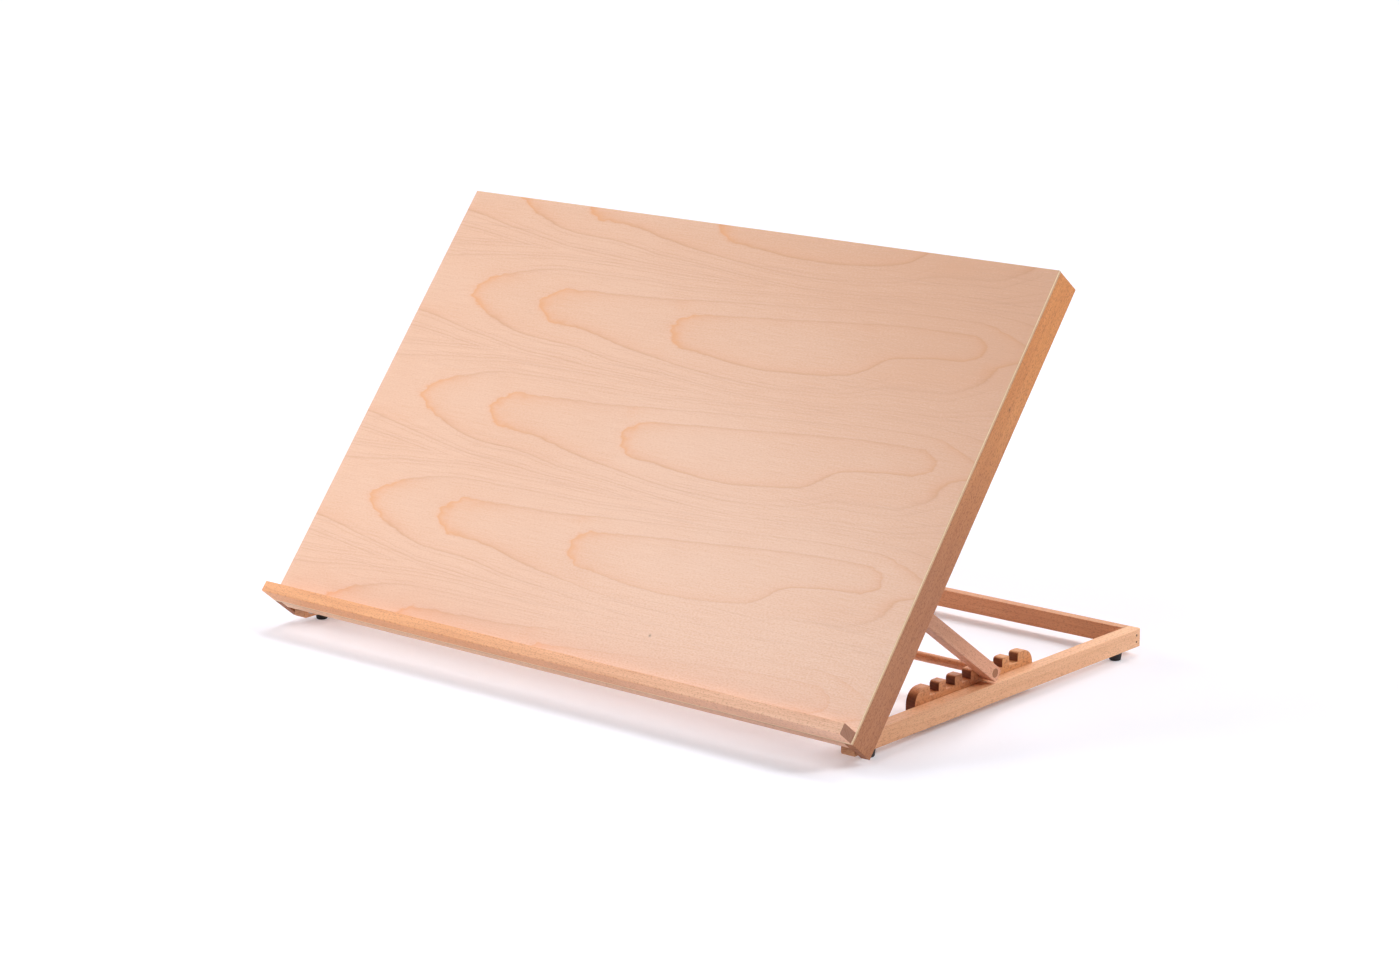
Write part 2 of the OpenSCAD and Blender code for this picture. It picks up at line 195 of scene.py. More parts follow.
def eased_prism(name, outline, near, far, ease, axes):
    """An outline carried along the third axis from near to far. At angle a of each end's quarter round
    the outline is drawn in by ease * (1 - sin a) and lies ease * (1 - cos a) inside the end."""
    points, normals = outline
    quarter = np.linspace(0, math.pi / 2, ARC_STEPS + 1)
    angles = np.concatenate([quarter, quarter[::-1]])[:, None, None]
    facing = np.repeat([-1.0, 1.0], ARC_STEPS + 1)[:, None, None]
    ends = np.where(facing < 0, near, far)
    flat = points - normals * ease * (1 - np.sin(angles))
    along = np.broadcast_to(ends - facing * ease * (1 - np.cos(angles)), flat.shape[:2] + (1,))
    leaning = np.broadcast_to(facing * np.cos(angles), along.shape)
    ring_normals = np.dstack([normals * np.sin(angles), leaning])
    return closed_mesh(name, np.dstack([flat, along]), ring_normals, axes)


def bar(name, axes, low, high, edges, near, far):
    """A straight bar along the third axis between two corners. Its long edges are quarter rounds, and
    towards an end each side is drawn in by e - sqrt(e^2 - (e - d)^2) at a depth d, where e is that side's
    end rounding. Edges go with the outline's four corners; the roundings of an end go with the low and the
    high side along the first axis, then along the second."""
    (a0, b0, w0), (a1, b1, w1) = low, high
    points, normals = filleted([(a0, b0), (a1, b0), (a1, b1), (a0, b1)], edges)
    low2, size2 = np.array([a0, b0]), np.array([a1 - a0, b1 - b0])
    rings, ring_normals = [], []
    for end, facing, rounding in ((w0, -1, near), (w1, 1, far)):
        rounding = np.array(rounding, float).reshape(2, 2)
        depth = rounding.max() * (1 - np.cos(np.linspace(0, math.pi / 2, END_STEPS + 1)))
        depth = depth[::-facing, None, None]
        lean = np.clip(1 - depth / rounding, 0, 1)
        drawn = rounding * (1 - np.sqrt(1 - lean**2))
        share = (points - low2) / size2
        kept = size2 - drawn.sum(2)
        flat = low2 + drawn[:, None, :, 0] + share * kept[:, None]
        side = np.where(normals < 0, lean[:, None, :, 0], lean[:, None, :, 1])
        outward = np.clip((normals**2 * side).sum(2, keepdims=True), 0, 1)
        along = np.broadcast_to(end - facing * depth, outward.shape)
        rings.append(np.dstack([flat, along]))
        ring_normals.append(np.dstack([normals * np.sqrt(1 - outward**2), facing * outward]))
    return closed_mesh(name, np.concatenate(rings), np.concatenate(ring_normals), axes)


def turned(name, profile, radii, centre):
    """A profile of radius and height turned about a vertical axis, with its corners rounded. The profile
    runs from the axis back to the axis, and its first and last flat become the two end faces."""
    points, normals = filleted(profile, radii)
    inner = points[:, 0] > TINY
    points, normals = points[inner], normals[inner]
    angles = np.linspace(0, 2 * math.pi, ROUND_STEPS, endpoint=False)
    round_about = np.stack([np.cos(angles), np.sin(angles), np.zeros(ROUND_STEPS)], 1)
    rings = points[:, None, :1] * round_about + points[:, None, 1:] * Z_AXIS + centre
    leaning = normals[:, None, :1] * round_about + normals[:, None, 1:] * Z_AXIS
    return closed_mesh(name, rings, leaning, np.eye(3))


class Field:
    """A shader socket that adds up like a number: each operator adds one Math node."""

    def __init__(self, socket):
        self.socket = socket

    def node(self, kind, settings=None, sockets=None, out=0):
        """Adds a node of any kind to this tree: its settings first, then its sockets' values or links."""
        tree = self.socket.id_data
        made = tree.nodes.new(kind)
        for name, value in (settings or {}).items():
            if name == "stops":
                set_stops(made.color_ramp, value)
            else:
                setattr(made, name, value)
        for key, value in (sockets or {}).items():
            if isinstance(value, Field):
                tree.links.new(value.socket, made.inputs[key])
            else:
                made.inputs[key].default_value = value
        return Field(made.outputs[out])

    def output(self, name):
        """Another output of the node that this socket belongs to."""
        return Field(self.socket.node.outputs[name])

    def math(self, operation, *others):
        """One Math node on this value and others."""
        operands = dict(enumerate((self, *others)))
        return self.node("ShaderNodeMath", {"operation": operation}, operands)

    def __add__(self, other):
        return self.math("ADD", other)

    def __sub__(self, other):
        return self.math("SUBTRACT", other)

    def __mul__(self, other):
        return self.math("MULTIPLY", other)

    def __truediv__(self, other):
        return self.math("DIVIDE", other)

    def __pow__(self, other):
        return self.math("POWER", other)

    def after(self, operation, first):
        """One Math node on a plain number and this value."""
        return self.node("ShaderNodeMath", {"operation": operation}, {0: first, 1: self})

    def __rsub__(self, other):
        return self.after("SUBTRACT", other)

    def __rtruediv__(self, other):
        return self.after("DIVIDE", other)

    def __rpow__(self, other):
        return self.after("POWER", other)

    def __neg__(self):
        return self * -1.0

    __radd__ = __add__
    __rmul__ = __mul__

    def step(self, start, stop, height=1.0):
        """A smooth step from 0 at start to height at stop."""
        sockets = {"Value": self, "From Min": start, "From Max": stop, "To Min": 0.0, "To Max": height}
        return self.node("ShaderNodeMapRange", {"interpolation_type": "SMOOTHSTEP"}, sockets)

    def course(self, stops, reach):
        """A smooth line along given heights, where this value runs from 0 to reach. The heights are drawn
        on a ramp of greys, as shares of the greatest one."""
        tallest = max(height for _, height in stops)
        greys = [(place / reach, (height / tallest,) * 3 + (1.0,)) for place, height in stops]
        return self.node("ShaderNodeValToRGB", {"stops": greys}, {"Fac": self / reach}) * tallest

    def noise(self, vector, detail, scale=1.0):
        """Noise from 0 to 1 at a vector of this tree."""
        sockets = {"Vector": vector, "Scale": scale, "Detail": detail}
        return self.node("ShaderNodeTexNoise", None, sockets)

    def vector(self, x, y, z):
        """Three values as one vector."""
        return self.node("ShaderNodeCombineXYZ", None, {"X": x, "Y": y, "Z": z})

    def mixed(self, first, second):
        """The colour between two colours, at this value."""
        return self.blended("MIX", self, first, second)

    def blended(self, way, share, first, second):
        """Two colours blended in a Mix node, in the given way and share."""
        settings = {"data_type": "RGBA", "blend_type": way, "clamp_factor": True}
        return self.node("ShaderNodeMix", settings, {0: share, 6: first, 7: second}, 2)

    def bumped(self, depth, strength):
        """A normal from this height, which is a share of the depth in metres."""
        sockets = {"Height": self, "Distance": depth, "Strength": strength}
        return self.node("ShaderNodeBump", None, sockets)


def set_stops(ramp, stops):
    """Gives a colour ramp its stops, each a place and a colour, with a smooth course between them."""
    ramp.interpolation = "B_SPLINE"
    while len(ramp.elements) < len(stops):
        ramp.elements.new(1.0)
    for element, (place, colour) in zip(ramp.elements, stops):
        element.position = place
        element.color = colour


def srgb(red, green, blue):
    """An 8-bit screen colour as linear light, by the usual curve of screens."""
    share = np.array([red, green, blue]) / 255
    linear = np.where(share <= 0.04045, share / 12.92, ((share + 0.055) / 1.055) ** 2.4)
    return (*linear.tolist(), 1.0)


def new_material(name, **constants):
    """A material with one Principled shader, whose even values are set on its own sockets. Gives the
    material, the shader and the object's own coordinates."""
    material = bpy.data.materials.new(name)
    material.use_nodes = True
    shader = next(n for n in material.node_tree.nodes if n.type == "BSDF_PRINCIPLED")
    for key, value in constants.items():
        shader.inputs[key.replace("_", " ")].default_value = value
    coordinates = Field(shader.outputs["BSDF"]).node("ShaderNodeTexCoord", out="Object")
    return material, shader, coordinates


def feed(shader, **fields):
    """Links fields to a shader's sockets, with _ for the spaces in their names."""
    for key, field in fields.items():
        shader.id_data.links.new(field.socket, shader.inputs[key.replace("_", " ")])


def laid_along(coordinates, origin, axes):
    """Coordinates in millimetres from an origin, along three axes of which the first is the grain's."""
    turn = Matrix(np.asarray(axes).T.tolist()).to_euler()
    sockets = {"Vector": coordinates, "Location": origin, "Rotation": turn, "Scale": (MM, MM, MM)}
    return coordinates.node("ShaderNodeMapping", {"vector_type": "TEXTURE"}, sockets)


def parts_of(vector):
    """The three values of a vector."""
    first = vector.node("ShaderNodeSeparateXYZ", None, {"Vector": vector})
    return first, first.output("Y"), first.output("Z")


def facing_along(coordinates, direction):
    """How squarely the surface looks along a direction or against it: 1 when square, 0 when beside it."""
    sockets = {0: coordinates.output("Normal"), 1: direction}
    cosine = coordinates.node("ShaderNodeVectorMath", {"operation": "DOT_PRODUCT"}, sockets, "Value")
    return cosine.math("ABSOLUTE")


def spot(here, place, size):
    """A round spot in millimetres: 1 at its middle, falling as a bell, exp(-(distance / size)^2)."""
    sockets = {0: here, 1: place}
    gap = here.node("ShaderNodeVectorMath", {"operation": "DISTANCE"}, sockets, "Value") / size
    return (-(gap * gap)).math("EXPONENT")


def grained(here, places, sizes, detail, shifts=(0.0, 0.0, 0.0)):
    """Noise from 0 to 1 whose blots have the given sizes along three places. A shift moves it by so many
    sizes, which gives pieces of the same wood another figure."""
    scaled = [place / size for place, size in zip(places, sizes)]
    moved = [value + shift if shift else value for value, shift in zip(scaled, shifts)]
    return here.noise(here.vector(*moved), detail)


# The middle of a noise that runs from 0 to 1, and its detail: smooth blots, and finer ones laid over them
MEAN = 0.5
SMOOTH = 1.0
FINE = 2.0
FINEST = 3.0

# Beech: pale wood, darker late wood, ray flecks and end grain
BEECH_PALE = srgb(236, 182, 138)
BEECH_DEEP = srgb(208, 146, 102)
BEECH_FLECK = srgb(170, 106, 68)
BEECH_END = srgb(96, 54, 34)

# Each piece's tone at the near and at the far end of its grain, as shares of red, green and blue. The
# stiles' tones are partly their darker wood and partly painted shade, darker towards the bottom; the
# crossbar's are darkened as a painted shade for the board's shade on its front; the bottom rail's are
# lightened as painted light on its underside
LEDGE_TONES = ((1.08, 0.95, 0.78), (1.14, 1.26, 1.58))
STILE_TONES_WITH_PAINTED_SHADE = ((0.58, 0.43, 0.33), (1.0, 0.75, 0.38))
RAIL_TONES = ((0.98, 0.97, 0.96), (1.2, 1.26, 1.34))
BOTTOM_RAIL_TONES_WITH_PAINTED_LIGHT = ((1.16, 1.4, 1.7), (1.06, 1.17, 1.47))
TOP_RAIL_TONES = ((0.95, 0.88, 0.8), (0.98, 0.9, 0.8))
CROSSBAR_TONES_WITH_PAINTED_SHADE = ((0.88, 0.79, 0.74), (0.87, 0.73, 0.62))
RACK_TONES = ((0.81, 0.65, 0.5), (0.97, 0.85, 0.65))
LEG_TONES = ((0.69, 0.63, 0.69), (1.02, 0.92, 1.04))
DOWEL_TONES = ((0.84, 0.7, 0.62), (0.84, 0.7, 0.62))
PEG_TONES = ((1.0, 1.0, 1.0), (1.0, 1.0, 1.0))

# Sizes of beech's features in millimetres, along the grain, along the radius and round the ring. The
# ray's last two are the other way round. The ring's bend is a length too, and a ray shows between two
# heights of its noise.
WAVE_SIZE = (160, 30, 30)
FIBRE_SIZE = (45, 0.7, 0.7)
TIDE_SIZE = (130, 22, 22)
PORE_SIZE = (4, 0.35, 0.35)
RAY_SIZE = (2.2, 0.75, 8)
RAY_STEP = (0.52, 0.66)
WAVE_HEIGHT = 9.0
RING_BEND = 140.0
LATE_POWER = 3.0

# How much late wood, fibres and drifts of tone darken beech, about a middle tone
LATE_SHARE = 0.28
FIBRE_SHARE = 0.9
TIDE_SHARE = 0.9
BEECH_DEPTH = 0.38

# From which cosine with the grain a face shows end grain, and how far its pores and late wood lighten it
END_STEP = (0.55, 0.95)
PORE_LIGHT = 0.5
LATE_LIGHT = 0.25

# Beech's roughness and what fibres and end grain add to it, and the relief of its fibres and rays
BEECH_ROUGH = 0.42
FIBRE_ROUGH = 0.16
END_ROUGH = 0.2
BEECH_RELIEF = 0.12 * MM
BEECH_RELIEF_STRENGTH = 0.35
FIBRE_HEIGHT = 0.6
RAY_HEIGHT = 0.4

# The stile's small knot: place from the middle of the stile in millimetres, size and darkness
STILE_KNOT = (92.0, 3.3, 4.5)
KNOT_SIZE = 1.3
KNOT_SHARE = 0.75


def beech(name, node, axes, tones, ring=3.2, lean=0.5, shift=0.0, ends=0.6, rays=0.42, knot=None):
    """Solid beech. Rings are sheets some millimetres apart across the radial direction, which leans in the
    piece by an angle in radians; they bend as a parabola round the ring and by a slow wave. Rays are
    lens-shaped flecks, thin round the ring, a few millimetres long down the grain and deep along the
    radius. The two tones colour the near and the far end of the grain, ends and rays say how strongly end
    grain and flecks show, and a knot is a dark spot."""
    material, shader, coordinates = new_material(name, Specular_IOR_Level=0.5)
    low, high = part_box(node)
    here = laid_along(coordinates, (low + high) / 2, axes)
    grain, second, third = parts_of(here)
    radial = second * math.cos(lean) + third * math.sin(lean)
    around = third * math.cos(lean) - second * math.sin(lean)
    places = (grain, radial, around)
    wave = grained(here, places, WAVE_SIZE, SMOOTH, (shift, 0, 0)) - MEAN
    rings = (radial + around * around / RING_BEND + wave * WAVE_HEIGHT) / ring + shift
    late = rings.math("FRACT") ** LATE_POWER
    fibre = grained(here, places, FIBRE_SIZE, FINEST, (0, shift, 0))
    fleck = grained(here, (grain, around, radial), RAY_SIZE, SMOOTH, (0, shift, 0)).step(*RAY_STEP)
    tide = grained(here, places, TIDE_SIZE, FINE, (-shift, 0, 0))
    depth = late * LATE_SHARE + (fibre - MEAN) * FIBRE_SHARE
    depth = depth + (tide - MEAN) * TIDE_SHARE + BEECH_DEPTH
    wood = depth.math("MAXIMUM", 0.0).mixed(BEECH_PALE, BEECH_DEEP)
    wood = (fleck * rays).mixed(wood, BEECH_FLECK)
    if knot:
        wood = (spot(here, knot, KNOT_SIZE) * KNOT_SHARE).mixed(wood, BEECH_END)
    cut = facing_along(coordinates, axes[0]).step(*END_STEP)
    pores = grained(here, places, PORE_SIZE, FINE)
    sawn = (pores * PORE_LIGHT + late * LATE_LIGHT).mixed(BEECH_END, BEECH_FLECK)
    wood = (cut * ends).mixed(wood, sawn)
    first, last = tones
    reach = np.ptp(vertices_of(node) @ axes[0]) / MM / 2
    tone = grain.step(-reach / 2, reach).mixed((*first, 1.0), (*last, 1.0))
    feed(
        shader,
        Base_Color=wood.blended("MULTIPLY", 1.0, wood, tone),
        Roughness=fibre * FIBRE_ROUGH + cut * END_ROUGH + BEECH_ROUGH,
        Normal=(fibre * FIBRE_HEIGHT - fleck * RAY_HEIGHT).bumped(BEECH_RELIEF, BEECH_RELIEF_STRENGTH),
    )
    return material


# Veneer figure in millimetres: one arch of rings at each turn of the peeled log. Each list gives heights
# at places along the grain: the ridge of the arch, its half widths, the rings from the ridge to the seam
# between two arches, the ring count on the ridge in steps and as an even slope, how deep the lines are
# stained, and how far the seam lies off the middle. A tip is the small climb at one step.
PANEL_WIDTH = 650.0
ROW_RISE = 107.05
RIDGE = [
    (0, 11.5), (139, 6.9), (295, 4.0), (400, 4.5), (470, 10.5), (530, 20.5), (600, 28.0), (650, 29.5),
]
WIDTH_ABOVE = [
    (0, 35), (110, 36), (182, 30.5), (254, 26.5), (325, 25), (439, 26.5), (552, 22), (650, 21),
]
WIDTH_BELOW = [
    (0, 35), (110, 36), (170, 27), (210, 26), (245, 32), (325, 33.5), (439, 33), (500, 32), (560, 44),
    (650, 48),
]
RINGS_TO_SEAM = [
    (0, 2.4), (110, 2.65), (182, 2.6), (254, 3.05), (325, 3.5), (439, 3.05), (552, 2.9), (650, 2.2),
]
TIP = [(-4, -0.06), (0, 0.0), (4, 0.13), (8, 0.21), (14, 0.28)]
RING_STEPS = [
    (0, 0.75), *((54 + run, 1 + rise) for run, rise in TIP),
    (112, 1.75), *((139 + run, 2 + rise) for run, rise in TIP),
    (265, 2.78), *((295 + run, 3 + rise) for run, rise in TIP),
    (400, 3.84), (500, 3.84), *((614 - run, 3 + rise) for run, rise in reversed(TIP)), (650, 2.0),
]
RING_SLOPE = [
    (0, 0.7), (60, 1.2), (140, 2.15), (300, 3.15), (400, 3.82), (500, 3.82), (600, 3.2), (650, 2.4),
]
TIP_STAIN = [
    (0, 0.35), (40, 0.1), (50, 0.8), (56, 1.0), (75, 0.5), (100, 0.2), (128, 0.1), (136, 0.9), (142, 1.0),
    (165, 0.6), (200, 0.3), (280, 0.1), (291, 0.8), (298, 1.0), (318, 0.5), (350, 0.2), (580, 0.1),
    (614, 0.5), (650, 0.2),
]
SEAM_SHIFT = [(0, 0.0), (250, 0.0), (325, 2), (439, 5.5), (552, 12), (600, 16.5), (650, 18)]
RING_POWER = 1.8
SEAM_MIDDLE = 0.5

# Veneer: pale and deep wood, the arches' tips, lines and flecks, then the panel's edge with a painted
# highlight on its arris, and one small knot
VENEER_PALE = srgb(234, 191, 163)
VENEER_DEEP = srgb(224, 173, 140)
VENEER_TIP = srgb(228, 158, 106)
VENEER_LINE = srgb(196, 132, 92)
VENEER_FLECK = srgb(190, 132, 104)
PLY_PALE = srgb(244, 214, 172)
PLY_PAINTED_HIGHLIGHT = srgb(255, 230, 190)
PLY_DEEP = srgb(206, 156, 112)
PLY_GLUE = srgb(120, 78, 52)
PANEL_KNOT = (418.0, 48.0, 0.0)
PANEL_KNOT_SIZE = 1.1
PANEL_KNOT_SHARE = 0.7

# How far an arch's flanks trail behind its tip for each millimetre off the ridge at the left, how much
# less they do past some places across, and how blunt the tip is
SWEEP = 0.75
SWEEP_LOSSES = ((80, 140, 0.4), (200, 320, 0.35))
TIP_BLUNTNESS = 4.0

# Distances from the ridge between which its steps fade out
NEAR_RIDGE = (14, 34)

# The waist under the ridge at the right, in rings: where it starts and slackens across, and where it
# begins and ends under the ridge
WAIST_DEPTH = 0.66
WAIST_START = (492, 538)
WAIST_LOSS = (540, 620, 0.3)
WAIST_TOP = (4, 16)
WAIST_FOOT = (24, 66)

# Where the face changes, as steps in millimetres. Lines fade to the right, gain under the ridge, and are
# quiet in the valleys between arches, more so at the right. The lower right is plain, with lines that lose
# a share, and the face is painted deeper towards the upper right, a painted shade, along the sum of both
# places.
FADING = (240, 600, 0.12)
UNDER_RIDGE = (-6, 10)
VALLEY = (22, 44)
QUIET_ACROSS = (330, 480, 0.35)
QUIET_LEAST = 0.2
PLAIN_ACROSS = (230, 380)
PLAIN_TOP = (60, 130)
PLAIN_LOSS = 0.6
UPPER_RIGHT_PAINTED_SHADE = (560, 1060, 0.7)

# Sizes of the veneer's features in millimetres across and up the panel. The last size counts arches, so
# that each arch has a figure of its own.
WANDER_SIZE = (55, 14, 1)
JAG_SIZE = (16, 2.6, 1)
NICK_SIZE = (12, 7, 1)
VENEER_FIBRE_SIZE = (30, 0.55, 1)
STREAK_SIZE = (110, 1.2, 1)
FLECK_SIZE = (3.2, 0.6, 1)
CLOUD_SIZE = (140, 60, 1)
GRIT_SIZE = (2.2, 1.2, 1)

# Heights of noise between which streaks and flecks show
STREAK_STEP = (0.55, 0.72)
FLECK_STEP = (0.6, 0.76)

# Waviness in rings: of a line everywhere, of its nicks at the tips, and of a hairline
WANDER = 0.1
JAG = 0.1
NICK = 0.4
HAIRLINE_WANDER = 0.4

# Widths in rings: of a line inside and outside its whole ring, along the flanks and what the tips add,
# of the stain and of a hairline, of which there are some to a ring
LINE_INSIDE = 0.06
LINE_INSIDE_TIP = 0.09
LINE_OUTSIDE = 0.025
LINE_OUTSIDE_TIP = 0.03
STAIN_WIDTH = 0.3
HAIRLINE_WIDTH = 0.1
HAIRLINES_PER_RING = 2
HAIRLINE_OFFSET = 0.5

# Strength of a line: everywhere, and what it gains under the ridge and at the tips. The orange stain has
# its own strength under the ridge.
LINE_STRENGTH = 0.5
LINE_UNDER = 0.2
LINE_TIP = 0.45
ORANGE_UNDER = 0.45

# How much of each mark's colour is mixed into the face
STAIN_SHARE = 0.72
LINE_SHARE = 0.72
TIP_WARMTH = 1.3
HAIRLINE_SHARE = 0.42
STREAK_SHARE = 0.06
STREAK_IN_VALLEY = 0.14
FLECK_SHARE = 0.24

# How much fibres, clouds and grit darken the veneer, about a middle tone. Grit counts for 1 more where
# the face is plain.
VENEER_FIBRE = 1.7
VENEER_CLOUD = 0.6
VENEER_GRIT = 1.5
VENEER_DEPTH = 0.38

# The veneer's roughness and what fibres and grit add to it, and its relief: grit, fibres and flecks
VENEER_ROUGH = 0.3
VENEER_FIBRE_ROUGH = 0.14
GRIT_ROUGH = 0.2
VENEER_RELIEF = 0.16 * MM
VENEER_RELIEF_STRENGTH = 0.6
VENEER_FIBRE_HEIGHT = 0.5
FLECK_HEIGHT = 0.5

# The panel's edge, by the cosine with the drawing face's normal: where the edge ends, where the painted
# highlight on the arris starts and stops, and how strongly that painted highlight shows
EDGE_STEP = (0.4, 0.8)
ARRIS_START = (0.15, 0.4)
ARRIS_STOP = (0.9, 0.99)
ARRIS_HIGHLIGHT_SHARE = 0.9

# Heights in millimetres from the drawing face: where the face veneer starts above the core, and where the
# glue line starts and stops
CORE_STEP = (-1.0, -0.7)
GLUE_START = (-3.0, -2.7)
GLUE_STOP = (-2.6, -2.3)
CORE_SHARE = 0.9
PLY_FIBRE = 0.5
GLUE_SHARE = 0.5


def veneer_rings(across, up):
    """Ring count over the veneer: the count on the ridge, less the 1.8th power of the distance from the
    ridge in half widths, drawn towards a set count at the seam, and less the waist. Close to the ridge the
    count climbs in steps, which makes the arches' tips; far from it the count climbs evenly. Gives the
    count, the height above the ridge, how near a tip is and the number of the arch."""
    shift = across.course(SEAM_SHIFT, PANEL_WIDTH) / ROW_RISE + SEAM_MIDDLE
    turns = (up - across.course(RIDGE, PANEL_WIDTH)) / ROW_RISE + shift
    away = (turns.math("FRACT") - shift) * ROW_RISE
    distance = away.math("ABSOLUTE")
    over = away.math("GREATER_THAN", 0.0)
    above = across.course(WIDTH_ABOVE, PANEL_WIDTH)
    below = across.course(WIDTH_BELOW, PANEL_WIDTH)
    width = below + (above - below) * over
    share = distance / ((shift + (1 - shift * 2) * over) * ROW_RISE)
    drop = (distance / width) ** RING_POWER
    seam = share**RING_POWER * across.course(RINGS_TO_SEAM, PANEL_WIDTH)
    drop = drop + (seam - drop) * (share * share)
    swept = SWEEP
    for loss in SWEEP_LOSSES:
        swept = swept - across.step(*loss)
    trailing = (away * away + TIP_BLUNTNESS**2).math("SQRT") - TIP_BLUNTNESS
    behind = across - trailing * swept
    slope = across.course(RING_SLOPE, PANEL_WIDTH)
    near = 1 - distance.step(*NEAR_RIDGE)
    crest = slope + (behind.course(RING_STEPS, PANEL_WIDTH) - slope) * near
    tip = behind.course(TIP_STAIN, PANEL_WIDTH) * near
    waist = across.step(*WAIST_START) * (WAIST_DEPTH - across.step(*WAIST_LOSS))
    waist = waist * (-away).step(*WAIST_TOP) * (1 - (-away).step(*WAIST_FOOT))
    return crest - drop - waist, away, tip, turns.math("FLOOR")


def veneer_face(here, across, up, fibre, fleck, grit, figure):
    """The drawing face. A line is dark at each whole ring and falls off exponentially on both sides, ragged
    at the arches' tips, where an orange stain follows it inwards. Hairlines run between two rings far from
    the ridge, and streaks and flecks lie over everything."""
    rings, away, tip, row = figure
    wander = grained(here, (across, up, row), WANDER_SIZE, SMOOTH) - MEAN
    jag = grained(here, (across, up, row), JAG_SIZE, FINE) - MEAN
    nick = grained(here, (across, up, row), NICK_SIZE, SMOOTH) - MEAN
    streak = grained(here, (across, up, row), STREAK_SIZE, FINE).step(*STREAK_STEP)
    cloud = grained(here, (across, up, 0.0), CLOUD_SIZE, FINE)
    fading = 1 - across.step(*FADING)
    under = (-away).step(*UNDER_RIDGE)
    valley = away.math("ABSOLUTE").step(*VALLEY)
    plain = across.step(*PLAIN_ACROSS) * (1 - up.step(*PLAIN_TOP))
    quiet = valley * (across.step(*QUIET_ACROSS) + QUIET_LEAST)
    strength = under * LINE_UNDER + tip * LINE_TIP + LINE_STRENGTH
    strength = strength * fading * (1 - quiet) * (1 - plain * PLAIN_LOSS)
    inside = (rings + wander * WANDER + jag * JAG + nick * tip * NICK).math("FRACT")
    inner = (-inside / (tip * LINE_INSIDE_TIP + LINE_INSIDE)).math("EXPONENT")
    outer = ((inside - 1) / (tip * LINE_OUTSIDE_TIP + LINE_OUTSIDE)).math("EXPONENT")
    line = inner.math("MAXIMUM", outer) * strength
    orange = tip.math("MAXIMUM", under * (1 - valley) * ORANGE_UNDER)
    stain = (inside / -STAIN_WIDTH).math("EXPONENT") * orange * fading
    between = (rings * HAIRLINES_PER_RING + wander * HAIRLINE_WANDER + HAIRLINE_OFFSET).math("FRACT")
    hairline = (between / -HAIRLINE_WIDTH).math("EXPONENT") * (valley - quiet) * (1 - plain)
    depth = (fibre - MEAN) * VENEER_FIBRE + (cloud - MEAN) * VENEER_CLOUD
    # Painted shade: the face turns deeper towards the upper right
    depth = depth + (grit - MEAN) * (plain + VENEER_GRIT) + (across + up).step(*UPPER_RIGHT_PAINTED_SHADE) + VENEER_DEPTH
    face = depth.math("MAXIMUM", 0.0).mixed(VENEER_PALE, VENEER_DEEP)
    face = (stain * STAIN_SHARE).mixed(face, VENEER_TIP)
    face = (line * LINE_SHARE).mixed(face, (tip * TIP_WARMTH).mixed(VENEER_LINE, VENEER_TIP))
    face = (hairline * HAIRLINE_SHARE).mixed(face, VENEER_LINE)
    marks = streak * (valley * STREAK_IN_VALLEY + STREAK_SHARE) + fleck * FLECK_SHARE
    face = marks.mixed(face, VENEER_FLECK)
    return (spot(here, PANEL_KNOT, PANEL_KNOT_SIZE) * PANEL_KNOT_SHARE).mixed(face, BEECH_END)


def veneered_panel():
    """Peeled beech veneer on a core: the face's figure with fine fibres, short flecks and grit, and an edge
    that shows the pale face veneer over the darker core and the glue line, under an arris with a painted
    highlight."""
    material, shader, coordinates = new_material("beech_veneer", Specular_IOR_Level=0.7)
    axes = np.array([X_AXIS, UP, OUT])
    low, high = span("drawing_panel", axes)
    corner = np.array([low[0], low[1], high[2]]) @ axes
    here = laid_along(coordinates, corner, axes)
    across, up, out = parts_of(here)
    figure = veneer_rings(across, up)
    fibre = grained(here, (across, up, figure[-1]), VENEER_FIBRE_SIZE, FINEST)
    fleck = grained(here, (across, up, 0.0), FLECK_SIZE, SMOOTH).step(*FLECK_STEP)
    grit = grained(here, (across, up, 0.0), GRIT_SIZE, FINE)
    face = veneer_face(here, across, up, fibre, fleck, grit, figure)
    facing = facing_along(coordinates, OUT)
    edge = 1 - facing.step(*EDGE_STEP)
    # Painted highlight: the rounded arris between the drawing face and the edge is painted pale
    painted_highlight = facing.step(*ARRIS_START) * (1 - facing.step(*ARRIS_STOP))
    core = 1 - out.step(*CORE_STEP)
    ply = (core * CORE_SHARE + (fibre - MEAN) * PLY_FIBRE).mixed(PLY_PALE, PLY_DEEP)
    glue = out.step(*GLUE_START) * (1 - out.step(*GLUE_STOP))
    ply = (glue * GLUE_SHARE).mixed(ply, PLY_GLUE)
    height = fibre * VENEER_FIBRE_HEIGHT + grit - fleck * FLECK_HEIGHT
    feed(
        shader,
        Base_Color=(painted_highlight * ARRIS_HIGHLIGHT_SHARE).mixed(edge.mixed(face, ply), PLY_PAINTED_HIGHLIGHT),
        Roughness=fibre * VENEER_FIBRE_ROUGH + (grit - MEAN) * GRIT_ROUGH + VENEER_ROUGH,
        Normal=height.bumped(VENEER_RELIEF, VENEER_RELIEF_STRENGTH),
    )
    return material


# Rubber: its colours, the blots of dust and pebbles to a metre, and what they do
RUBBER_BLACK = srgb(16, 14, 14)
RUBBER_DUST = srgb(44, 40, 40)
DUST_SHARE = 0.7
DUST_SCALE = 160.0
PEBBLE_SCALE = 2200.0
PEBBLE_RELIEF = 0.08 * MM
PEBBLE_STRENGTH = 0.4
RUBBER_ROUGH = 0.5
PEBBLE_ROUGH = 0.25

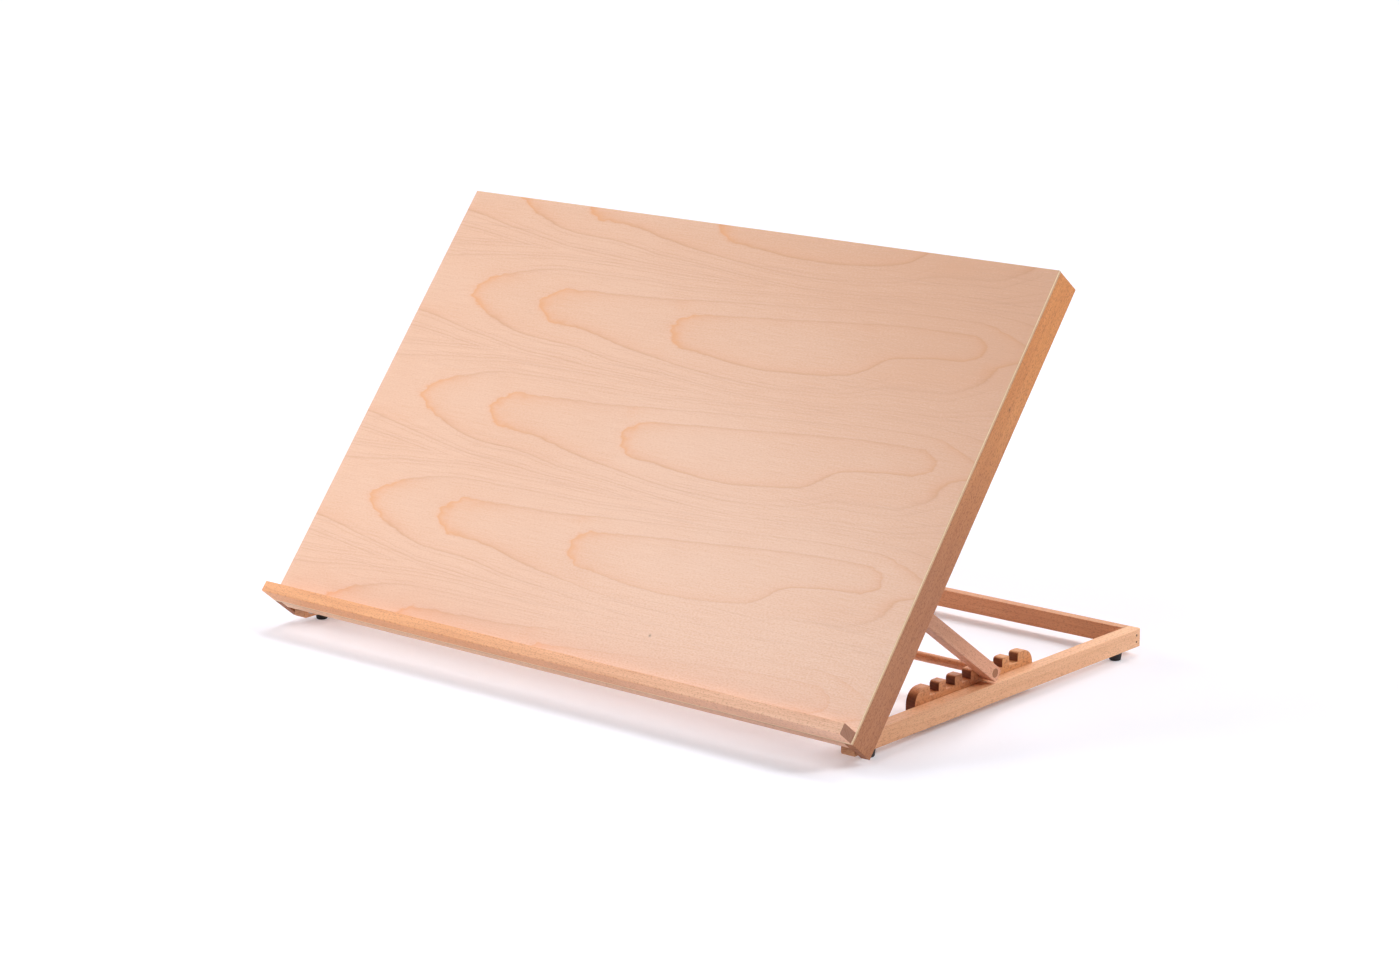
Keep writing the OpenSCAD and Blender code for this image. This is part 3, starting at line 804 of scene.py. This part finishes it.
# Zinc: its colours, the clouds and marks to a metre, and what they do
ZINC_DULL = srgb(150, 150, 152)
ZINC_BRIGHT = srgb(205, 205, 202)
ZINC_CLOUD_SCALE = 420.0
MARK_SCALE = 3000.0
MARK_RELIEF = 0.02 * MM
MARK_STRENGTH = 0.3
ZINC_ROUGH = 0.2
ZINC_CLOUD_ROUGH = 0.2
MARK_ROUGH = 0.1

# Nails: their colours, the pits to a metre, and what they do
NAIL_DARK = srgb(66, 40, 28)
NAIL_BROWN = srgb(116, 74, 52)
PIT_SCALE = 1800.0
PIT_RELIEF = 0.04 * MM
PIT_STRENGTH = 0.4
NAIL_ROUGH = 0.5
PIT_ROUGH = 0.3


def black_rubber():
    """Moulded rubber: near black with a fine pebbled skin and a bloom of dust."""
    material, shader, coordinates = new_material("black_rubber", Specular_IOR_Level=0.4)
    pebbles = coordinates.noise(coordinates, FINEST, PEBBLE_SCALE)
    dust = coordinates.noise(coordinates, FINE, DUST_SCALE)
    feed(
        shader,
        Base_Color=(dust * DUST_SHARE).mixed(RUBBER_BLACK, RUBBER_DUST),
        Roughness=pebbles * PEBBLE_ROUGH + RUBBER_ROUGH,
        Normal=pebbles.bumped(PEBBLE_RELIEF, PEBBLE_STRENGTH),
    )
    return material


def zinc_plate():
    """Bright zinc on steel, with faint clouds and fine marks."""
    material, shader, coordinates = new_material("zinc_plate", Metallic=1.0)
    cloud = coordinates.noise(coordinates, FINEST, ZINC_CLOUD_SCALE)
    marks = coordinates.noise(coordinates, FINE, MARK_SCALE)
    feed(
        shader,
        Base_Color=cloud.mixed(ZINC_DULL, ZINC_BRIGHT),
        Roughness=cloud * ZINC_CLOUD_ROUGH + marks * MARK_ROUGH + ZINC_ROUGH,
        Normal=marks.bumped(MARK_RELIEF, MARK_STRENGTH),
    )
    return material


def nail_heads():
    """Driven nail heads, gone dark: brown oxide with pits."""
    material, shader, coordinates = new_material("dark_nail", Specular_IOR_Level=0.3)
    pits = coordinates.noise(coordinates, FINEST, PIT_SCALE)
    feed(
        shader,
        Base_Color=pits.mixed(NAIL_DARK, NAIL_BROWN),
        Roughness=pits * PIT_ROUGH + NAIL_ROUGH,
        Normal=pits.bumped(PIT_RELIEF, PIT_STRENGTH),
    )
    return material


def dress(piece, material, slot, body, *nodes):
    """Gives a piece its finish and the body that carries it. The slot is not used."""
    piece.data.materials.append(material)
    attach(piece, body)
    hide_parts(*nodes)


# Directions of outline and length for each kind of bar, one axis a row
ACROSS_BOARD = np.array([UP, OUT, X_AXIS])
UP_BOARD = np.array([OUT, X_AXIS, UP])
ACROSS_BASE = np.array([Y_AXIS, Z_AXIS, X_AXIS])
ALONG_BASE = np.array([Z_AXIS, X_AXIS, Y_AXIS])
ALONG_LEG = np.array([LEG, LEG_SIDE, X_AXIS])
SIDES = {"left": -1, "right": 1}


def grain_first(axes):
    """The same axes with the lengthwise one first."""
    return np.roll(axes, 1, 0)


def drawing_panel():
    """The veneered panel, with a rounder arris at the ends of its drawing face."""
    low, high = span("drawing_panel", ACROSS_BOARD)
    ends = [PANEL_EDGE, PANEL_EDGE, PANEL_EDGE, PANEL_ARRIS]
    panel = bar("panel", ACROSS_BOARD, low, high, [PANEL_EDGE] * 4, ends, ends)
    dress(panel, veneered_panel(), "beech_panel", "board", "drawing_panel")


def paper_ledge():
    """The strip that holds the paper, with softer edges in front."""
    low, high = span("ledge", ACROSS_BOARD)
    edges = [PANEL_EDGE, PANEL_EDGE, LEDGE_FRONT_EDGE, LEDGE_FRONT_EDGE]
    ledge = bar("paper_ledge", ACROSS_BOARD, low, high, edges, FREE_ENDS, FREE_ENDS)
    axes = grain_first(ACROSS_BOARD)
    wood = beech("beech_ledge", "ledge", axes, LEDGE_TONES, ring=2.6, lean=1.1, shift=3.0, ends=0.8)
    dress(ledge, wood, "beech_frame", "board", "ledge")


def frame_rail(node, tones):
    """A rail across the frame behind the panel, butted between the stiles."""
    low, high = span(node, ACROSS_BOARD)
    rail = bar("frame_" + node, ACROSS_BOARD, low, high, LONG_EDGES, BUTTED_ENDS, BUTTED_ENDS)
    wood = beech("beech_" + node, node, grain_first(ACROSS_BOARD), tones, shift=5.0)
    dress(rail, wood, "beech_frame", "board", node)


def frame_stile(side, sign):
    """A stile up one side of the frame. The right one has a small knot."""
    node = "stile_" + side
    low, high = span(node, UP_BOARD)
    stile = bar("frame_" + node, UP_BOARD, low, high, LONG_EDGES, FREE_ENDS, FREE_ENDS)
    cut = {"ring": 2.8, "lean": 1.3, "shift": 8.0 + sign, "ends": 0.3, "rays": 0.6}
    knot = STILE_KNOT if sign > 0 else None
    # The stile's tones: its darker wood, and painted shade darker towards the bottom
    wood = beech("beech_" + node, node, grain_first(UP_BOARD), STILE_TONES_WITH_PAINTED_SHADE, knot=knot, **cut)
    dress(stile, wood, "beech_frame", "board", node)


def base_rail(side, sign):
    """A rail of the base. Its nose is rounded above and below, and its tail on the outer side."""
    node = "rail_" + side
    low, high = span(node, ALONG_BASE)
    nose = [NOSE_ROUND, NOSE_ROUND, FREE_END, FREE_END]
    left, right = (FREE_END, TAIL_ROUND) if sign > 0 else (TAIL_ROUND, FREE_END)
    tail = [FREE_END, FREE_END, left, right]
    rail = bar("base_" + node, ALONG_BASE, low, high, LONG_EDGES, nose, tail)
    cut = {"ring": 3.4, "lean": 1.15, "shift": 11.0 + sign, "ends": 0.3}
    wood = beech("beech_" + node, node, grain_first(ALONG_BASE), RAIL_TONES, **cut)
    dress(rail, wood, "beech_base", "base", node)


def rack_outline(length, height):
    """A rack's side view: rounded ends, and square notches with a rounded tooth behind each."""
    corners = [(0, 0), (length, 0), (length, height)]
    radii = [SAWN_CORNER, SAWN_CORNER, RACK_REAR_ROUND]
    for number in reversed(range(NOTCH_COUNT)):
        front = NOTCH_FIRST + number * NOTCH_PITCH
        rear, floor = front + NOTCH_WIDTH, height - NOTCH_DEPTH
        corners += [(rear, height), (rear, floor), (front, floor), (front, height)]
        radii += [TOOTH_ROUND, SAWN_CORNER, SAWN_CORNER, SAWN_CORNER]
    return filleted(corners + [(0, height)], radii + [RACK_FRONT_ROUND])


def rack(side, sign):
    """A notched rack on the inner face of a base rail."""
    node = "rack_" + side
    low, high = span(node, ACROSS_BASE)
    points, normals = rack_outline(*(high - low)[:2])
    outline = points + low[:2], normals
    strip = eased_prism("notched_" + node, outline, low[2], high[2], RACK_EDGE, ACROSS_BASE)
    # Full end-grain darkening: end grain, and partly painted shade on the notch walls inside the notches
    cut = {"ring": 2.5, "lean": 0.3, "shift": 15.0 + sign, "ends": 1.0, "rays": 0.6}
    wood = beech("beech_" + node, node, grain_first(ALONG_BASE), RACK_TONES, **cut)
    dress(strip, wood, "beech_base", "base", node)


def crossbar():
    """The bar between the tails of the base rails."""
    node = "rear_crossbar"
    low, high = span(node, ACROSS_BASE)
    bar_across = bar("crossbar", ACROSS_BASE, low, high, LONG_EDGES, BUTTED_ENDS, BUTTED_ENDS)
    cut = {"ring": 3.0, "lean": 0.7, "shift": 19.0}
    # The crossbar's tones: darkened as a painted shade, for the board's shade on its front
    wood = beech("beech_crossbar", node, grain_first(ACROSS_BASE), CROSSBAR_TONES_WITH_PAINTED_SHADE, **cut)
    dress(bar_across, wood, "beech_base", "base", node)


def foot(node, rubber):
    """A turned rubber foot, with the recess for its screw in the sole."""
    low, high = (np.array(corner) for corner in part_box(node))
    top, rim = high[2], (high - low)[0] / 2
    profile = [
        (0, FOOT_RECESS_DEPTH), (FOOT_RECESS, FOOT_RECESS_DEPTH), (FOOT_RECESS, 0),
        (FOOT_SOLE, 0), (rim, top), (0, top),
    ]
    radii = [0, FOOT_LIP, FOOT_LIP, FOOT_SOLE_ROUND, FOOT_LIP, 0]
    pad = turned("rubber_" + node, profile, radii, (low + high) / 2 * [1, 1, 0])
    dress(pad, rubber, "rubber", "base", node)


def prop_leg(side, sign):
    """A leg of the prop, round about its pivot screw and cornered at the dowel."""
    node = "prop_leg_" + side
    low, high = span(node, ALONG_LEG)
    corners = [(low[0], low[1]), (high[0], low[1]), (high[0], high[1]), (low[0], high[1])]
    round_end = (high[1] - low[1]) / 2
    outline = filleted(corners, [round_end, LEG_CORNER, LEG_CORNER, round_end])
    leg = eased_prism("swing_" + node, outline, low[2], high[2], LEG_EDGE, ALONG_LEG)
    wood = beech("beech_" + node, node, ALONG_LEG, LEG_TONES, ring=3.6, lean=1.3, shift=23.0 + sign)
    dress(leg, wood, "beech_prop", "prop", node)


def prop_dowel():
    """The dowel across the prop, which sits in the racks' notches."""
    points, normals = circle(DOWEL_RADIUS)
    outline = points + DOWEL[1:], normals
    near, far = dowel_low[0], dowel_high[0]
    dowel = eased_prism("cross_dowel", outline, near, far, DOWEL_END, ACROSS_BASE)
    axes = grain_first(ACROSS_BASE)
    wood = beech("beech_dowel", "prop_dowel", axes, DOWEL_TONES, ring=2.4, lean=0.4, shift=27.0)
    dress(dowel, wood, "beech_dowel", "prop", "prop_dowel")


def fasteners():
    """Screws, washers, nails and pegs keep their solids and get their finish."""
    zinc = zinc_plate()
    nodes = [
        "foot_screws", "rack_screws", "ledge_screws",
        "hinge_screws", "hinge_washers", "prop_screws", "prop_washers",
    ]
    finishes = dict.fromkeys(nodes, zinc)
    finishes["crossbar_nails"] = nail_heads()
    finishes["frame_pegs"] = beech("beech_pegs", "frame_pegs", grain_first(ACROSS_BOARD), PEG_TONES)
    for node, material in finishes.items():
        slots = frame["nodes"][node].data.materials
        slots.clear()
        slots.append(material)


# Light: azimuth from the front towards the right, elevation and strength of the far lamps
LAMPS = {
    "front": (0, 40, 0.42),
    "right": (120, 40, 1.52),
    "overhead": (120, 65, 0.1),
    "rear_right_low": (160, 20, 0.85),
    "rear": (200, 40, 0.52),
    "rear_high": (200, 58, 0.72),
    "rear_left": (240, 40, 0.25),
    "left_low": (280, 18, 1.25),
}
LAMP_ANGLE = 24.0

# Light: the soft boxes near the object's front left, with their azimuth, elevation, distance, width and
# power. The second one stands where the lower right of the panel mirrors it, and gives the satin gleam.
BOXES = {
    "soft_box": (330, 30, 1.6, 0.7, 5.3),
    "gleam_box": (320, 47, 1.6, 0.6, 3.8),
}

# The floor's width in metres, its colour, and the share of white that lifts it where it is seen
FLOOR_SIZE = 30.0
FLOOR_COLOUR = (0.9, 0.91, 0.99, 1.0)
FLOOR_LIFT = 0.12


def towards(azimuth, elevation):
    """The direction from the object to what stands at an azimuth and an elevation in degrees."""
    azimuth, elevation = math.radians(azimuth), math.radians(elevation)
    level = math.cos(elevation)
    return Vector((math.sin(azimuth) * level, -math.cos(azimuth) * level, math.sin(elevation)))


def seen_directly(shader):
    """1 for camera, mirror and glass rays, 0 for the rays that light the object, in a shader's tree."""
    path = Field(shader.outputs[0]).node("ShaderNodeLightPath", out="Is Camera Ray")
    glossy = path.output("Is Glossy Ray")
    return path.math("MAXIMUM", glossy).math("MAXIMUM", path.output("Is Transmission Ray"))


def hang(lamp, direction, distance):
    """Puts a lamp at a distance in a direction, shining at the object."""
    holder = bpy.data.objects.new(lamp.name, lamp)
    holder.location = direction * distance
    holder.rotation_mode = "QUATERNION"
    holder.rotation_quaternion = direction.to_track_quat("Z", "Y")
    holder.visible_camera = False
    bpy.context.scene.collection.objects.link(holder)


def studio():
    """White surround and lamps."""
    scene = bpy.context.scene
    scene.view_settings.view_transform = "Standard"
    scene.world = bpy.data.worlds.new("studio")
    scene.world.use_nodes = True
    backdrop = next(n for n in scene.world.node_tree.nodes if n.type == "BACKGROUND")
    backdrop.inputs["Color"].default_value = (1.0, 1.0, 1.0, 1.0)
    feed(backdrop, Strength=seen_directly(backdrop))
    for name, (azimuth, elevation, strength) in LAMPS.items():
        lamp = bpy.data.lights.new(name, "SUN")
        lamp.energy = strength
        lamp.angle = math.radians(LAMP_ANGLE)
        hang(lamp, towards(azimuth, elevation), FLOOR_SIZE / 2)
    for name, (azimuth, elevation, distance, width, power) in BOXES.items():
        box = bpy.data.lights.new(name, "AREA")
        box.shape = "DISK"
        box.size = width
        box.energy = power
        hang(box, towards(azimuth, elevation), distance)


def pale_floor():
    """The floor that takes the object's soft shadow: matt paint, and a little light of its own where it is
    seen directly."""
    half = FLOOR_SIZE / 2
    corners = [(-half, -half, 0), (half, -half, 0), (half, half, 0), (-half, half, 0)]
    mesh = bpy.data.meshes.new("floor")
    mesh.from_pydata(corners, [], [(0, 1, 2, 3)])
    floor = bpy.data.objects.new("floor", mesh)
    bpy.context.scene.collection.objects.link(floor)
    finish = {"Base_Color": FLOOR_COLOUR, "Roughness": 1.0, "Specular_IOR_Level": 0.0}
    material, shader, _ = new_material("studio_floor", **finish)
    lift = seen_directly(shader) * FLOOR_LIFT
    shining = lift.node("ShaderNodeEmission", None, {"Strength": lift})
    lit = lift.node("ShaderNodeAddShader", None, {0: Field(shader.outputs["BSDF"]), 1: shining})
    output = next(n for n in material.node_tree.nodes if n.type == "OUTPUT_MATERIAL")
    feed(output, Surface=lit)
    mesh.materials.append(material)


def camera():
    """Looks at the aim point from the photograph's azimuth and elevation."""
    back = towards(VIEW_AZIMUTH, VIEW_ELEVATION)
    lens = bpy.data.cameras.new("camera")
    lens.sensor_width = SENSOR_WIDTH
    lens.lens = LENS
    holder = bpy.data.objects.new("camera", lens)
    holder.location = VIEW_AIM + back * VIEW_DISTANCE
    holder.rotation_mode = "QUATERNION"
    holder.rotation_quaternion = (-back).to_track_quat("-Z", "Y")
    bpy.context.scene.collection.objects.link(holder)
    bpy.context.scene.camera = holder


camera()
studio()
pale_floor()

# The board, which swings on its hinge
drawing_panel()
paper_ledge()
frame_rail("top_rail", TOP_RAIL_TONES)
# The bottom rail's tones: lightened as painted light on its underside
frame_rail("bottom_rail", BOTTOM_RAIL_TONES_WITH_PAINTED_LIGHT)
for side, sign in SIDES.items():
    frame_stile(side, sign)

# The base, which stands on the table
for side, sign in SIDES.items():
    base_rail(side, sign)
    rack(side, sign)
crossbar()
rubber = black_rubber()
for end in ("front", "rear"):
    for side in SIDES:
        foot("foot_" + end + "_" + side, rubber)

# The prop, which swings on its pivot screws
for side, sign in SIDES.items():
    prop_leg(side, sign)
prop_dowel()

fasteners()
